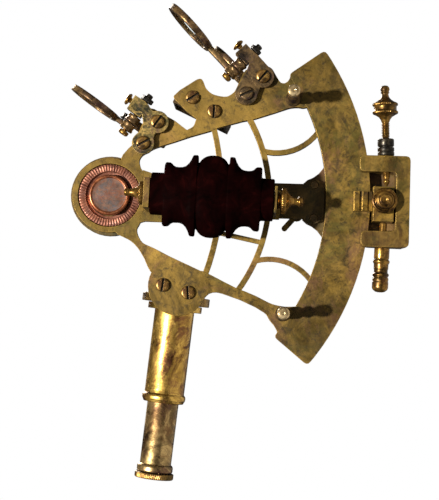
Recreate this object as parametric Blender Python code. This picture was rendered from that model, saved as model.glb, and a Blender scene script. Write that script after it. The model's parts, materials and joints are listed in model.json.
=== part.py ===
"""Marine sextant: a brass frame with an index arm, two mirrors, two sets of shades,
a telescope, a clamp with a tangent screw, two feet and a rosewood handle.

Lengths are in millimetres on the frame's own plan and become metres when a mesh is
made. On that plan +x runs from the index arm's pivot to the middle of the limb, +y
runs along the line of sight, and +z points from the frame's back face to the hand.
The pivot is at x = 0, y = 0, and z = 0 is the back face.
An empty turns the plan to the way the sextant is held: the limb down, the telescope
along the world's X axis, and the middle of the handle at the world's origin.
"""
import math

import bmesh
import bpy
from mathutils import Matrix, Vector

MM = 0.001
GAP = 0.3

# the hand's place, which is the world's origin
GRIP_X = 64.7
GRIP_Z = 28.0

# frame
PLATE = 6.0
LIMB_OUTER_R = 162.5
LIMB_INNER_R = 135.1
LIMB_HALF_ANGLE = 37.35
HUB_R = 23.3
HUB_HOLE_R = 19.9
STRUT_W = 3.5
STRUT_R = 99.8
STRUT_1_CENTRE_X = -87.0
STRUT_1_R = 156.5
BRACE_W = 3.1
BRACE_R = 32.0
LINK_W = 2.8

# index arm, whose parts are placed in the arm's own plan, with x' along the arm
ARM_REST = 1.7
ARM_BACK = -6.3
ARM_FRONT = -9.8
ARM_HALF_W = 11.0
ARM_DISC_R = 25.0
SHAFT_R = 7.7
BORE_R = 8.0
CAP_R = 12.7

# mirrors and telescope
SIGHT_Z = -28.0
INDEX_MIRROR_ANGLE = 8.9
HORIZON_MIRROR_ANGLE = 157.0
HORIZON_MIRROR = (53.5, 58.5)
SCOPE_ANGLE = -93.7
SCOPE_START = (45.7, -35.0)
TUBE_R = 12.65

# shades
INDEX_PIN = (6.4, 40.2)
INDEX_PIN_ANGLE = 57.3
INDEX_PIN_Z = -0.5
HORIZON_PIN = (68.8, 78.6)
HORIZON_PIN_ANGLE = 46.0
HORIZON_PIN_Z = -0.5
INDEX_RING_R = 17.5
INDEX_RING_REACH = 25.5
HORIZON_RING_R = 18.5
HORIZON_RING_REACH = 38.5

# feet
FOOT_HEIGHT = 34.0
FOOT_UPPER = (110.8, 66.6)
FOOT_LOWER = (112.0, -67.6)

# clamp and tangent screw, in the arm's plan
CLAMP_X = 170.1
SCREW_Z = 5.0
SCREW_FOOT = (171.9, 9.6)
SCREW_LEAN = 92.2
PLUNGER_TOP = (170.5, -12.8)
PLUNGER_LEAN = -91.7

for old in list(bpy.data.objects):
    bpy.data.objects.remove(old, do_unlink=True)


# ---------------------------------------------------------------- materials
def material(name, colour, roughness, metallic):
    mat = bpy.data.materials.new(name)
    mat.use_nodes = True
    shader = mat.node_tree.nodes["Principled BSDF"]
    shader.inputs["Base Color"].default_value = (*colour, 1.0)
    shader.inputs["Roughness"].default_value = roughness
    shader.inputs["Metallic"].default_value = metallic
    mat.diffuse_color = (*colour, 1.0)
    return mat


OLIVE_BRASS = ((0.42, 0.34, 0.15), 0.42, 1.0)
GOLD_BRASS = ((0.62, 0.42, 0.17), 0.34, 1.0)
DARK_BRASS = ((0.25, 0.21, 0.13), 0.5, 1.0)
COPPER = ((0.50, 0.28, 0.17), 0.4, 1.0)
DARK_STEEL = ((0.10, 0.10, 0.10), 0.45, 1.0)
SILVERED = ((0.62, 0.58, 0.48), 0.35, 1.0)
ROSEWOOD = ((0.05, 0.02, 0.015), 0.35, 0.0)
MIRROR = ((0.85, 0.87, 0.88), 0.05, 1.0)
CLEAR_GLASS = ((0.80, 0.86, 0.86), 0.05, 0.0)
GREEN_GLASS = ((0.10, 0.25, 0.12), 0.08, 0.0)
RED_GLASS = ((0.30, 0.05, 0.03), 0.08, 0.0)

# ---------------------------------------------------------------- the plan and its empties
root = bpy.data.objects.new("sextant_plan", None)
bpy.context.collection.objects.link(root)
# columns are where the plan's x, y and z axes point in the world
root.matrix_world = Matrix((
    (0.0, 1.0, 0.0, 0.0),
    (0.0, 0.0, -1.0, GRIP_Z * MM),
    (-1.0, 0.0, 0.0, GRIP_X * MM),
    (0.0, 0.0, 0.0, 1.0)))


def empty(name, matrix, parent):
    obj = bpy.data.objects.new(name, None)
    bpy.context.collection.objects.link(obj)
    obj.parent = parent
    obj.matrix_basis = matrix
    return obj


def turned(angle):
    return Matrix.Rotation(math.radians(angle), 4, "Z")


def moved(x, y, z):
    return Matrix.Translation((x * MM, y * MM, z * MM))


def along(x, y, z, angle):
    """A place whose own z axis lies in the plan, along angle, with its y axis up."""
    direction = Vector((math.cos(math.radians(angle)), math.sin(math.radians(angle)), 0.0))
    up = Vector((0.0, 0.0, 1.0))
    side = up.cross(direction)
    place = Matrix.Identity(4)
    for row in range(3):
        place[row][0] = side[row]
        place[row][1] = up[row]
        place[row][2] = direction[row]
    return moved(x, y, z) @ place


# ---------------------------------------------------------------- shapes
def obj_from(bm, name, parent, place):
    mesh = bpy.data.meshes.new(name)
    bmesh.ops.recalc_face_normals(bm, faces=bm.faces)
    bm.to_mesh(mesh)
    bm.free()
    obj = bpy.data.objects.new(name, mesh)
    bpy.context.collection.objects.link(obj)
    obj.parent = parent
    obj.matrix_basis = place
    return obj


def plate(name, outline, low, high, parent=root, place=None, holes=()):
    """An outline with holes, drawn out between two heights."""
    bm = bmesh.new()
    edges = []
    for loop in [outline, *holes]:
        verts = [bm.verts.new((x * MM, y * MM, low * MM)) for x, y in loop]
        count = len(verts)
        edges += [bm.edges.new((verts[i], verts[(i + 1) % count])) for i in range(count)]
    bmesh.ops.triangle_fill(bm, edges=edges, use_beauty=True, use_dissolve=False)
    grown = bmesh.ops.extrude_face_region(bm, geom=list(bm.faces))
    top = [item for item in grown["geom"] if isinstance(item, bmesh.types.BMVert)]
    bmesh.ops.translate(bm, verts=top, vec=(0.0, 0.0, (high - low) * MM))
    return obj_from(bm, name, parent, place or Matrix.Identity(4))


def lathe(name, profile, parent=root, place=None, steps=12):
    """A closed profile of (radius, height) turned about z."""
    bm = bmesh.new()
    rings = []
    for radius, height in profile:
        if radius < 1e-6:
            rings.append([bm.verts.new((0.0, 0.0, height * MM))])
            continue
        ring = []
        for step in range(steps):
            angle = 2.0 * math.pi * step / steps
            ring.append(bm.verts.new((radius * MM * math.cos(angle),
                                      radius * MM * math.sin(angle), height * MM)))
        rings.append(ring)
    open_ended = len(rings[0]) == 1 and len(rings[-1]) == 1
    pairs = list(zip(rings, rings[1:]))
    if not open_ended:
        pairs.append((rings[-1], rings[0]))
    for one, two in pairs:
        for step in range(steps):
            after = (step + 1) % steps
            if len(one) == 1:
                bm.faces.new((one[0], two[step], two[after]))
            elif len(two) == 1:
                bm.faces.new((one[after], one[step], two[0]))
            else:
                bm.faces.new((one[after], one[step], two[step], two[after]))
    return obj_from(bm, name, parent, place or Matrix.Identity(4))


def rod(name, radius, low, high, parent=root, place=None, steps=12):
    return lathe(name, [(0, low), (radius, low), (radius, high), (0, high)], parent, place, steps)


def block(name, low, high, parent=root, place=None):
    outline = [(low[0], low[1]), (high[0], low[1]), (high[0], high[1]), (low[0], high[1])]
    return plate(name, outline, low[2], high[2], parent, place)


def combine(target, tools, operation):
    """Join solids to, or cut them from, the target, and keep the result as its mesh."""
    for tool in tools:
        tool.hide_render = True
        tool.display_type = "WIRE"
        step = target.modifiers.new(operation.lower(), "BOOLEAN")
        step.operation = operation
        step.solver = "EXACT"
        step.object = tool
        bpy.context.view_layer.update()
        depsgraph = bpy.context.evaluated_depsgraph_get()
        result = bpy.data.meshes.new_from_object(target.evaluated_get(depsgraph))
        target.modifiers.clear()
        target.data = result
        bpy.data.objects.remove(tool, do_unlink=True)
    return target


def join(target, *tools):
    return combine(target, tools, "UNION")


def cut(target, *tools):
    return combine(target, tools, "DIFFERENCE")


def finish(obj, look, smooth=True):
    colour, roughness, metallic = look
    obj.data.materials.clear()
    obj.data.materials.append(material(obj.name, colour, roughness, metallic))
    bm = bmesh.new()
    bm.from_mesh(obj.data)
    bmesh.ops.triangulate(bm, faces=[f for f in bm.faces if len(f.verts) > 4])
    bm.to_mesh(obj.data)
    bm.free()
    for face in obj.data.polygons:
        face.material_index = 0
    if smooth:
        obj.data.shade_smooth()
        obj.data.set_sharp_from_angle(angle=math.radians(32))
    obj.data.name = obj.name
    return obj


# ---------------------------------------------------------------- outlines
def polar(radius, angle, centre=(0.0, 0.0)):
    turn = math.radians(angle)
    return (centre[0] + radius * math.cos(turn), centre[1] + radius * math.sin(turn))


def arc(radius, start, end, steps, centre=(0.0, 0.0)):
    return [polar(radius, start + (end - start) * i / steps, centre) for i in range(steps + 1)]


def circle(radius, centre=(0.0, 0.0), steps=20):
    return [polar(radius, 360.0 * i / steps, centre) for i in range(steps)]


def band(inner, outer, start, end, steps, centre=(0.0, 0.0)):
    """A strip of a ring between two radii."""
    return arc(outer, start, end, steps, centre) + arc(inner, end, start, steps, centre)


def strip(one, two, width):
    """A straight bar of a width between two points."""
    run = Vector((two[0] - one[0], two[1] - one[1])).normalized()
    off = Vector((-run.y, run.x)) * (width / 2.0)
    return [(one[0] + off.x, one[1] + off.y), (one[0] - off.x, one[1] - off.y),
            (two[0] - off.x, two[1] - off.y), (two[0] + off.x, two[1] + off.y)]


def ngon(radius, sides, first=0.0):
    return [polar(radius, first + 360.0 * i / sides) for i in range(sides)]


def rounded(points, radius, steps=2):
    """The same outline with its corners rounded off; nearly straight ones stay as they are."""
    smooth = []
    count = len(points)
    for i, corner in enumerate(points):
        here = Vector(corner)
        back = Vector(points[i - 1]) - here
        ahead = Vector(points[(i + 1) % count]) - here
        if math.pi - back.angle(ahead) < math.radians(12):
            smooth.append(tuple(here))
            continue
        reach = min(radius, 0.42 * back.length, 0.42 * ahead.length)
        start = here + back.normalized() * reach
        end = here + ahead.normalized() * reach
        for step in range(steps + 1):
            t = step / steps
            smooth.append(tuple(start * (1 - t) ** 2 + here * 2 * t * (1 - t) + end * t ** 2))
    return smooth


def mirrored(points):
    """The same outline on the other side of the x axis."""
    return [(x, -y) for x, y in reversed(points)]


# ================================================================ frame
UPPER_ARM = [
    (5, 23.5), (10, 30), (13, 33), (22, 57), (38, 49), (46, 43.5), (46.5, 44), (50, 46),
    (51, 50), (51.5, 51), (45, 55.5), (37, 62.5), (36, 64.3), (40, 68.5), (50.5, 76),
    (53, 76.5), (54.5, 74.5), (56, 70.5), (60, 67), (65, 66), (70, 65.7), (74, 69),
    (75, 71), (80, 84), (94.5, 86.5), (97, 85), (99.5, 81), (102, 77.3), (103, 76.5),
    (105, 76.2), (107.2, 77.6), (108.6, 80.6), (113, 84.5), (118, 78), (122, 63),
    (118, 61.5), (115, 62), (110, 61.5), (100, 57.5), (88, 53), (80, 51), (65, 46),
    (61, 44), (48, 39.5), (40, 36.3), (30, 32.5), (25.5, 30.7), (18.5, 26), (17, 23),
    (18, 18.5), (20.5, 16), (20, 10), (10, 14)]
LOWER_ARM = mirrored([
    (4, 23.0), (15, 27.5), (20, 32), (24, 38), (28, 46), (45.9, 60), (62, 62), (65.5, 57.5),
    (70, 56.5), (74, 57.3), (85, 60.5), (95, 64.5), (102, 68.3), (104, 72), (107, 75),
    (109, 78), (109.6, 80), (109.9, 82), (114, 85.5), (118, 78), (123, 62.5), (120, 62.5),
    (113, 63.2), (105, 62), (95, 57.5), (88, 55), (83, 53.5), (75, 50), (65, 45.5),
    (60, 44), (50, 40), (40, 36), (30, 31.5), (22, 28.5), (19, 24), (18, 20), (20, 17),
    (20, 10), (10, 14)])
TONGUE = [(20, -16), (23, -15), (43, -14.5), (45, -12), (45, 12), (43, 14.5), (26, 15.3),
          (20, 17)]
SCOPE_DISC = (45.9, -54.2)
SCOPE_DISC_R = 18.4
# the disc stops at the lower arm's inner edge
SCOPE_DISC_SHAPE = arc(SCOPE_DISC_R, 146, 394, 26, SCOPE_DISC)

LIMB = band(LIMB_INNER_R, LIMB_OUTER_R, -LIMB_HALF_ANGLE, LIMB_HALF_ANGLE, 28)
frame = plate("frame", rounded(LIMB, 3.0, 3), -PLATE, 0.0)
ARM_LOW = -PLATE + 0.06
ARM_HIGH = -0.06
RIB_LOW = -PLATE + 0.4
RIB_HIGH = -0.4
ties = []


def tie(outline, low, high):
    """A member of the frame, cast in one with the rest."""
    ties.append(plate("tie", outline, low, high))


tie(circle(HUB_R, steps=44), -PLATE + 0.03, -0.03)
tie(rounded(UPPER_ARM, 3.0), ARM_LOW, ARM_HIGH)
tie(rounded(LOWER_ARM, 3.0), ARM_LOW - 0.02, ARM_HIGH + 0.02)
tie(SCOPE_DISC_SHAPE, -PLATE + 0.01, -0.01)
tie(TONGUE, -PLATE + 0.12, -0.12)
tie(band(STRUT_R - STRUT_W / 2, STRUT_R + STRUT_W / 2, -34.0, 33.5, 20), RIB_LOW, RIB_HIGH)
tie(band(STRUT_1_R - STRUT_W / 2, STRUT_1_R + STRUT_W / 2, -17.0, 17.0, 12,
         (STRUT_1_CENTRE_X, 0)), RIB_LOW + 0.05, RIB_HIGH - 0.05)
tie(band(BRACE_R - BRACE_W / 2, BRACE_R + BRACE_W / 2, -105.0, -32.0, 10, (101, 64.5)),
    RIB_LOW + 0.1, RIB_HIGH - 0.1)
tie(band(BRACE_R - BRACE_W / 2, BRACE_R + BRACE_W / 2, 109.0, 40.0, 10, (103.5, -66)),
    RIB_LOW + 0.1, RIB_HIGH - 0.1)
tie(strip((67.0, -19.0), (98.5, -24.3), LINK_W), RIB_LOW + 0.15, RIB_HIGH - 0.15)
tie([(94, -9), (106.5, -9), (106.5, 9), (94, 9)], RIB_LOW + 0.2, -0.2)
join(frame, *ties)

# the hub's hole, the groove that takes the arc's scale, and the holes for screws
frame_holes = [rod("hole", HUB_HOLE_R, -9, 3, place=turned(2.0), steps=36)]
frame_holes.append(plate("groove", band(142.7, 156.3, -36.7, 36.7, 28), -9, -PLATE + 1.0))
frame_holes.append(plate("notch_upper", circle(2.2, (104.6, 80.8), 16), -9, 3))
INDEX_SCREWS = [(19.2, 33.4), (27.5, 47.1)]
HORIZON_SCREWS = [(81.6, 67.9), (91.4, 79.2)]
EAR_SCREWS = [(48.1, 64.2), (62.1, 56.2)]
SCOPE_SCREWS = [(36.7, -54.1), (52.6, -57.9)]
join(frame, plate("lug", circle(6.0, EAR_SCREWS[1], 20), -PLATE + 0.08, -0.08))
for spot in [*INDEX_SCREWS, *HORIZON_SCREWS, *EAR_SCREWS, *SCOPE_SCREWS]:
    frame_holes.append(rod("hole", 2.0, -9, 3, place=moved(*spot, 0), steps=8))
cut(frame, *frame_holes)
finish(frame, OLIVE_BRASS)

finish(plate("arc_scale", band(143.0, 156.0, -36.5, 36.5, 28), -PLATE, -PLATE + 0.7), SILVERED)

# ---------------------------------------------------------------- feet
FOOT_PROFILE = [(0, GAP), (4.7, GAP), (4.7, 1.4), (3.4, 2.6), (3.8, 9.0), (3.0, 11.5),
                (3.0, 16.5), (3.6, 18.6), (2.7, 21.2), (2.7, 26.6), (3.9, 28.8),
                (3.9, 33.2), (3.2, FOOT_HEIGHT), (0, FOOT_HEIGHT)]
finish(lathe("foot_upper", FOOT_PROFILE, place=moved(*FOOT_UPPER, 0), steps=12), OLIVE_BRASS)
finish(lathe("foot_lower", FOOT_PROFILE, place=moved(*FOOT_LOWER, 0), steps=12), OLIVE_BRASS)

# ---------------------------------------------------------------- hub
finish(lathe("bearing_bush", [(BORE_R, -5.7), (HUB_HOLE_R - GAP, -5.7),
                              (HUB_HOLE_R - GAP, -3.2), (BORE_R, -3.2)], steps=28), GOLD_BRASS)
finish(lathe("pivot_cover", [(13.0, -2.9), (19.3, -2.9), (19.3, -0.9), (18.7, -0.4), (15.0, -0.4),
                             (14.7, -0.7), (14.7, -2.2), (13.0, -2.2)], steps=20), COPPER)

# ---------------------------------------------------------------- index arm
arm_plan = empty("index_arm_plan", turned(ARM_REST), root)
arm = plate("index_arm", [(0, -ARM_HALF_W), (121.5, -ARM_HALF_W), (123.2, -12.2), (125.0, -13.7),
                          (127.5, -14.0), (130.4, -13.2), (132.6, -11.4), (133.9, -8.6), (134.3, -5),
                          (134.3, 5), (133.9, 8.6), (132.6, 11.4), (130.4, 13.2), (127.5, 14.0),
                          (125.0, 13.7), (123.2, 12.2), (121.5, ARM_HALF_W), (0, ARM_HALF_W)],
            ARM_FRONT, ARM_BACK, arm_plan)
arm_holes = [rod("bore", BORE_R, -20, 3, arm_plan, steps=20)]
STUDS = [(128.0, 10.6), (128.0, -10.3)]
for spot in STUDS:
    arm_holes.append(rod("stud_hole", 2.8, -20, 3, arm_plan, moved(*spot, 0), 8))
join(arm, rod("disc", ARM_DISC_R, -13.5, ARM_BACK + 0.02, arm_plan, steps=44))
cut(arm, *arm_holes)
finish(arm, OLIVE_BRASS)
finish(rod("pivot_shaft", SHAFT_R, -13.4, -2.0, arm_plan, steps=20), GOLD_BRASS)
finish(lathe("pivot_cap", [(0, -1.7), (CAP_R, -1.7), (CAP_R, 2.2), (11.6, 3.1), (10.9, 3.1),
                           (10.5, 2.6), (4.2, 3.4), (0, 3.4)], arm_plan, steps=32), COPPER)

# the index mirror stands on the hub's front, across the pivot
mirror_plan = empty("index_mirror_plan", turned(INDEX_MIRROR_ANGLE - ARM_REST), arm_plan)
index_bracket = block("index_mirror_bracket", (-22.4, -3.4, -52), (27, 0.9, -15.0), mirror_plan)
join(index_bracket,
     plate("foot", [(-17, -16), (17, -16), (21, -8), (21, 3), (16, 9), (-16, 9), (-21, 3),
                    (-21, -8)], -16.6, -13.8, mirror_plan),
     plate("web_1", [(-12, -3), (-12, -14), (-9, -14), (-9, -3)], -34, -15.5, mirror_plan),
     plate("web_2", [(9, -3), (9, -14), (12, -14), (12, -3)], -34, -15.5, mirror_plan),
     block("rim", (-22.6, -1.5, -52.3), (27.2, 4.6, -46.6), mirror_plan),
     block("side_1", (-22.7, -1.6, -52.2), (-21.0, 4.5, -16), mirror_plan),
     block("side_2", (25.6, -1.6, -52.2), (27.3, 4.5, -16), mirror_plan))
finish(index_bracket, OLIVE_BRASS)
finish(block("index_mirror_glass", (-20.6, 1.2, -46.2), (25.2, 4.0, -17.0), mirror_plan), MIRROR)

# the vernier plate lies under the arm's end and runs on beneath the limb
VERNIER_HALF = [(121.0, 11.5), (123.5, 13.8), (127.0, 15.4), (130.5, 18.0), (133.2, 21.4),
                (135.0, 25.0), (150, 26.5), (163, 27.7), (183.2, 28.0), (185.0, 27.2),
                (185.8, 25.4)]
vernier = plate("vernier_plate", mirrored(VERNIER_HALF)[::-1] + VERNIER_HALF[::-1], -12.6, -10.1,
                arm_plan)
join(vernier,
     plate("pad", band(135.6, 149.5, -9.0, 9.0, 10), -10.4, -6.4, arm_plan),
     rod("stud", 2.5, -10.5, -6.6, arm_plan, moved(*STUDS[0], 0), 8),
     rod("stud", 2.5, -10.5, -6.6, arm_plan, moved(*STUDS[1], 0), 8))
cut(vernier, plate("window", band(141.5, 156.0, -7.0, 7.0, 10), -20, 0, arm_plan))
finish(vernier, OLIVE_BRASS)

# ---------------------------------------------------------------- tangent bracket
screw_place = along(*SCREW_FOOT, SCREW_Z, SCREW_LEAN)
plunger_place = along(*PLUNGER_TOP, SCREW_Z, PLUNGER_LEAN)
tangent_bracket = plate("tangent_bracket", rounded([
    (156.4, -28.2), (186, -28.2), (186, 28.2), (154.8, 28.2),
    (154.8, 18.3), (177.5, 18.3), (177.5, -18.4), (156.4, -18.4)], 3.0, 3), 0.5, 9.5, arm_plan)
join(tangent_bracket,
     plate("leg", rounded([(164.2, -28.0), (185.8, -28.0), (185.8, 28.0), (164.2, 28.0),
                           (164.2, 18.5), (177.7, 18.5), (177.7, -18.6), (164.2, -18.6)], 2.6),
           -9.8, 0.8, arm_plan))
cut(tangent_bracket,
    rod("screw_hole", 2.9, 5, 25, arm_plan, screw_place, 12),
    rod("plunger_hole", 2.6, 2, 25, arm_plan, plunger_place, 12))
finish(tangent_bracket, OLIVE_BRASS)

tip_plan = empty("tangent_tip_plan", screw_place, arm_plan)
finish(lathe("tangent_tip", [(0, 0), (0.7, 0), (2.0, 2.6), (2.0, 4.2), (0, 4.2)], tip_plan,
             steps=12), GOLD_BRASS)
finish(lathe("tangent_screw", [
    (0, 4.5), (2.4, 4.5), (2.4, 39.4), (4.2, 42.0), (7.2, 45.0),
    (7.9, 45.4), (7.9, 51.4), (4.0, 54.4), (2.0, 58.4), (2.7, 59.3), (2.9, 60.5), (2.4, 62.0),
    (0, 63.0)], tip_plan, steps=12), GOLD_BRASS)
locknut = plate("tangent_locknut", circle(5.15, steps=14), 19.0, 24.2, arm_plan, screw_place)
join(locknut,
     rod("neck", 4.2, 24.0, 25.0, arm_plan, screw_place, 14),
     plate("nut_2", circle(5.0, steps=14), 24.8, 29.4, arm_plan, screw_place))
cut(locknut, rod("bore", 2.85, 10, 40, arm_plan, screw_place, 12))
finish(locknut, DARK_STEEL)

barrel = lathe("plunger_barrel", [
    (2.6, 15.8), (4.8, 15.8), (4.8, 22.6), (5.1, 25.4), (4.4, 27.0), (4.4, 31.8), (5.0, 33.0),
    (5.0, 41.0), (3.6, 43.0), (1.2, 43.2), (1.2, 40.5), (3.5, 40.5), (3.5, 17.6), (2.6, 17.6)],
    arm_plan, plunger_place, 12)
finish(barrel, OLIVE_BRASS)
finish(lathe("plunger", [(0, 0), (1.6, 0), (2.25, 0.7), (2.25, 23.0), (3.1, 23.2), (3.1, 26.0),
                         (1.8, 26.2), (1.8, 33.0), (0, 33.0)],
             empty("plunger_plan", plunger_place, arm_plan), steps=12), GOLD_BRASS)

# ---------------------------------------------------------------- clamp
clamp_plan = empty("clamp_plan", Matrix.Identity(4), arm_plan)
clamp = block("clamp_block", (163.6, -12.4, -9.4), (176.3, 9.0, 9.1), clamp_plan)
join(clamp, block("front_jaw", (152.5, -6.0, -9.3), (165, 6.0, -6.5), clamp_plan))
cut(clamp, rod("screw_hole", 2.4, -4, 20, clamp_plan, moved(CLAMP_X, 0, 0), 12))
finish(clamp, GOLD_BRASS)
jaw = block("clamp_jaw", (151.8, -6.1, 0.5), (163.2, 6.1, 6.4), clamp_plan)
RIB_XS = (153.7, 158.7)
for rib_x in RIB_XS:
    join(jaw, block("rib", (rib_x - 1.6, -6.0, 5.5), (rib_x + 1.6, 6.0, 7.6), clamp_plan))
finish(jaw, GOLD_BRASS)
screw_plan = empty("clamp_screw_plan", moved(CLAMP_X, 0, 0), clamp_plan)
finish(lathe("clamp_screw", [
    (0, -3.0), (2.1, -3.0), (2.1, 10.1), (7.2, 10.1), (8.0, 10.6), (8.0, 15.2), (7.3, 16.0),
    (5.5, 16.2), (5.3, 17.4), (3.6, 17.6), (3.4, 19.0), (1.2, 19.2), (0, 18.2)], screw_plan,
    steps=12), GOLD_BRASS)

# ---------------------------------------------------------------- magnifier
MAGNIFIER = (117.5, -8.1)
finish(lathe("magnifier_pivot", [
    (0, -16.9), (3.2, -16.9), (3.6, -16.4), (3.6, -15.4), (1.8, -15.4), (1.8, -12.9), (3.4, -12.9),
    (3.4, -10.1), (0, -10.1)], arm_plan, moved(*MAGNIFIER, 0), 12), DARK_BRASS)
magnifier_plan = empty("magnifier_plan", moved(*MAGNIFIER, 0), arm_plan)
LENS_AT = (31.5, 9.5)
magnifier = plate("magnifier_arm", strip((-7.6, -8.8), (0, 0), 3.5), -15.0, -13.2, magnifier_plan)
join(magnifier,
     plate("boss", circle(4.2, steps=12), -15.05, -13.15, magnifier_plan),
     plate("end", circle(1.85, (-7.5, -8.7), 12), -15.1, -13.1, magnifier_plan),
     plate("bar", strip((0, 0), (24.5, 7.4), 4.5), -14.95, -13.25, magnifier_plan),
     lathe("eye", [(7.3, -21.0), (9.2, -21.0), (9.2, -13.3), (7.3, -13.3)], magnifier_plan,
           moved(*LENS_AT, 0), 18))
cut(magnifier, rod("hole", 2.1, -20, 0, magnifier_plan, steps=12))
finish(magnifier, OLIVE_BRASS)
finish(lathe("magnifier_lens", [(0, -20.2), (5.0, -19.8), (7.0, -18.8), (7.0, -17.6), (5.0, -16.6),
                                (0, -16.2)], magnifier_plan, moved(*LENS_AT, 0), 18), CLEAR_GLASS)


# ---------------------------------------------------------------- screws with slotted heads
def slotted_screw(name, spot, head_low, head_r, slot_angle, tip_low, look):
    place = moved(*spot, 0) @ turned(slot_angle)
    head = lathe(name, [(0, tip_low), (1.5, tip_low), (1.5, head_low), (head_r, head_low),
                        (head_r, head_low + 1.1), (head_r - 0.9, head_low + 2.0),
                        (0, head_low + 2.0)], root, place, 10)
    cut(head, block("slot", (-8, -0.55, head_low + 1.0), (8, 0.55, head_low + 4), root, place))
    finish(head, look)


# ---------------------------------------------------------------- shade brackets
BRACKET_LOW = GAP
BRACKET_HIGH = 3.8


def on_pin(pin, angle, s, off):
    """A point on the plan, s along the pin from its head and off to its outer side."""
    turn = math.radians(angle)
    return (pin[0] + s * math.cos(turn) - off * math.sin(turn),
            pin[1] + s * math.sin(turn) + off * math.cos(turn))


def shade_set(side, pin, angle, pin_z, screws, slots, bar, block_s, lugs, nut_s, nut_r, ring_r,
              reach, rests, glasses, look, screw_look):
    lobes = [plate("lobe", circle(7.0, spot, 20), BRACKET_LOW + 0.02 * i, BRACKET_HIGH - 0.02 * i)
             for i, spot in enumerate(screws)]
    place = along(*pin, pin_z, angle)
    body = plate(side + "_bracket", bar, BRACKET_LOW + 0.05, BRACKET_HIGH - 0.05)
    low_s, high_s = block_s
    ear = [on_pin(pin, angle, low_s, -3.2), on_pin(pin, angle, high_s, -3.2),
           on_pin(pin, angle, high_s, 6.6), on_pin(pin, angle, low_s, 6.6)]
    join(body, *lobes, plate("ear", ear, pin_z - 3.8, BRACKET_HIGH - 0.1))
    end_hole = rod("pin_hole", 1.9, -20, 60, root, place, 12)
    cut(body, end_hole)
    for spot in screws:
        cut(body, rod("hole", 2.0, -9, 9, place=moved(*spot, 0), steps=8))
    middle = (low_s + high_s) / 2 + 1.0
    side_spot = on_pin(pin, angle, middle, 0.0)
    side_place = along(*side_spot, pin_z, angle + 92.0)
    cut(body, rod("hole", 1.7, 2.0, 20, root, side_place, 8))
    finish(body, look)
    for number, (spot, slot) in enumerate(zip(screws, slots), start=1):
        slotted_screw(side + "_screw_%d" % number, spot, BRACKET_HIGH + GAP, 4.3, slot, -5.5,
                      screw_look)
    pin_body = lathe(side + "_hinge_pin", [
        (0, -1.9), (2.4, -1.9), (3.3, -1.0), (3.3, 1.0), (1.5, 1.0), (1.5, nut_s + 3.4),
        (0, nut_s + 3.4)], root, place, 12)
    join(pin_body, plate("nut", ngon(nut_r, 6, 30), nut_s - 2.2, nut_s + 2.3, root, place))
    finish(pin_body, DARK_STEEL)
    finish(lathe(side + "_tension_screw", [
        (0, 2.6), (1.3, 2.6), (1.3, 7.4), (1.9, 7.6), (1.9, 8.4), (3.9, 9.0), (3.9, 10.0),
        (2.4, 11.3), (0, 11.8)], root, side_place, 12), OLIVE_BRASS)
    for number, ((low, high), rest, glass) in enumerate(zip(lugs, rests, glasses), start=1):
        # the ring's plan: its x axis points from the pin to the ring, and z along the pin
        hinge = empty("%s_ring_%d_plan" % (side, number),
                      place @ Matrix.Rotation(math.radians(-rest), 4, "Z"), root)
        ring = lathe(side + "_ring_%d" % number, [
            (ring_r - 3.5, low + 0.7), (ring_r, low + 0.7), (ring_r, high - 0.7),
            (ring_r - 3.5, high - 0.7)],
                     hinge, moved(reach, 0, 0), 22)
        join(ring,
             rod("lug", 4.4, low + 0.02, high - 0.02, hinge, steps=12),
             block("stem", (1.5, -2.6, low + 0.9), (reach - ring_r + 1.0, 2.6, high - 0.9),
                   hinge))
        cut(ring, rod("hole", 1.85, low - 5, high + 5, hinge, steps=8))
        finish(ring, look)
        finish(rod(side + "_glass_%d" % number, ring_r - 3.9, low + 1.8, high - 1.8, hinge,
                   moved(reach, 0, 0), 22), glass)


shade_set("index_shade", INDEX_PIN, INDEX_PIN_ANGLE, INDEX_PIN_Z, INDEX_SCREWS, (32, 57),
          [(12.5, 63.2), (9.2, 57), (17.2, 52.4), (18.5, 46), (18, 42), (14, 38), (25, 33),
           (26, 39), (33, 50), (24, 54), (19, 59.5)],
          (13.0, 22.6), [(1.6, 6.8), (7.2, 12.3)], 25.6, 4.4, INDEX_RING_R, INDEX_RING_REACH,
          (0.0, 103.0), (GREEN_GLASS, RED_GLASS), OLIVE_BRASS, OLIVE_BRASS)
shade_set("horizon_shade", HORIZON_PIN, HORIZON_PIN_ANGLE, HORIZON_PIN_Z, HORIZON_SCREWS, (25, 52),
          [(79.5, 98.7), (75, 93.5), (82.5, 87.5), (81, 82), (76, 72), (88, 66), (90, 72),
           (97, 83), (88, 92)],
          (13.6, 22.4), [(1.6, 7.2), (7.6, 13.2)], 25.4, 4.0, HORIZON_RING_R, HORIZON_RING_REACH,
          (0.0, 80.0), (GREEN_GLASS, RED_GLASS), DARK_BRASS, DARK_BRASS)

# ---------------------------------------------------------------- horizon mirror
horizon_plan = empty("horizon_mirror_plan",
                     moved(*HORIZON_MIRROR, 0) @ turned(HORIZON_MIRROR_ANGLE), root)
horizon = block("horizon_mirror_bracket", (-19.2, -2.6, -43.5), (18.6, 3.2, -12.2), horizon_plan)
cut(horizon,
    block("window", (-16.5, -20, -40.5), (16.5, 20, -15.2), horizon_plan),
    block("seat", (-17.7, -1.4, -41.7), (17.7, 20, -14.0), horizon_plan))
join(horizon, plate("foot", [(40, 64), (46, 72), (55, 70), (68, 58.5), (66.5, 53), (58, 49.5),
                             (50, 54)], -12.9, -6.3))
for spot in EAR_SCREWS:
    cut(horizon, rod("hole", 1.8, -10.6, 3, place=moved(*spot, 0), steps=8))
finish(horizon, OLIVE_BRASS)
finish(block("horizon_mirror_glass", (-17.4, -1.1, -41.4), (17.4, 1.6, -14.3), horizon_plan),
       MIRROR)
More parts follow.
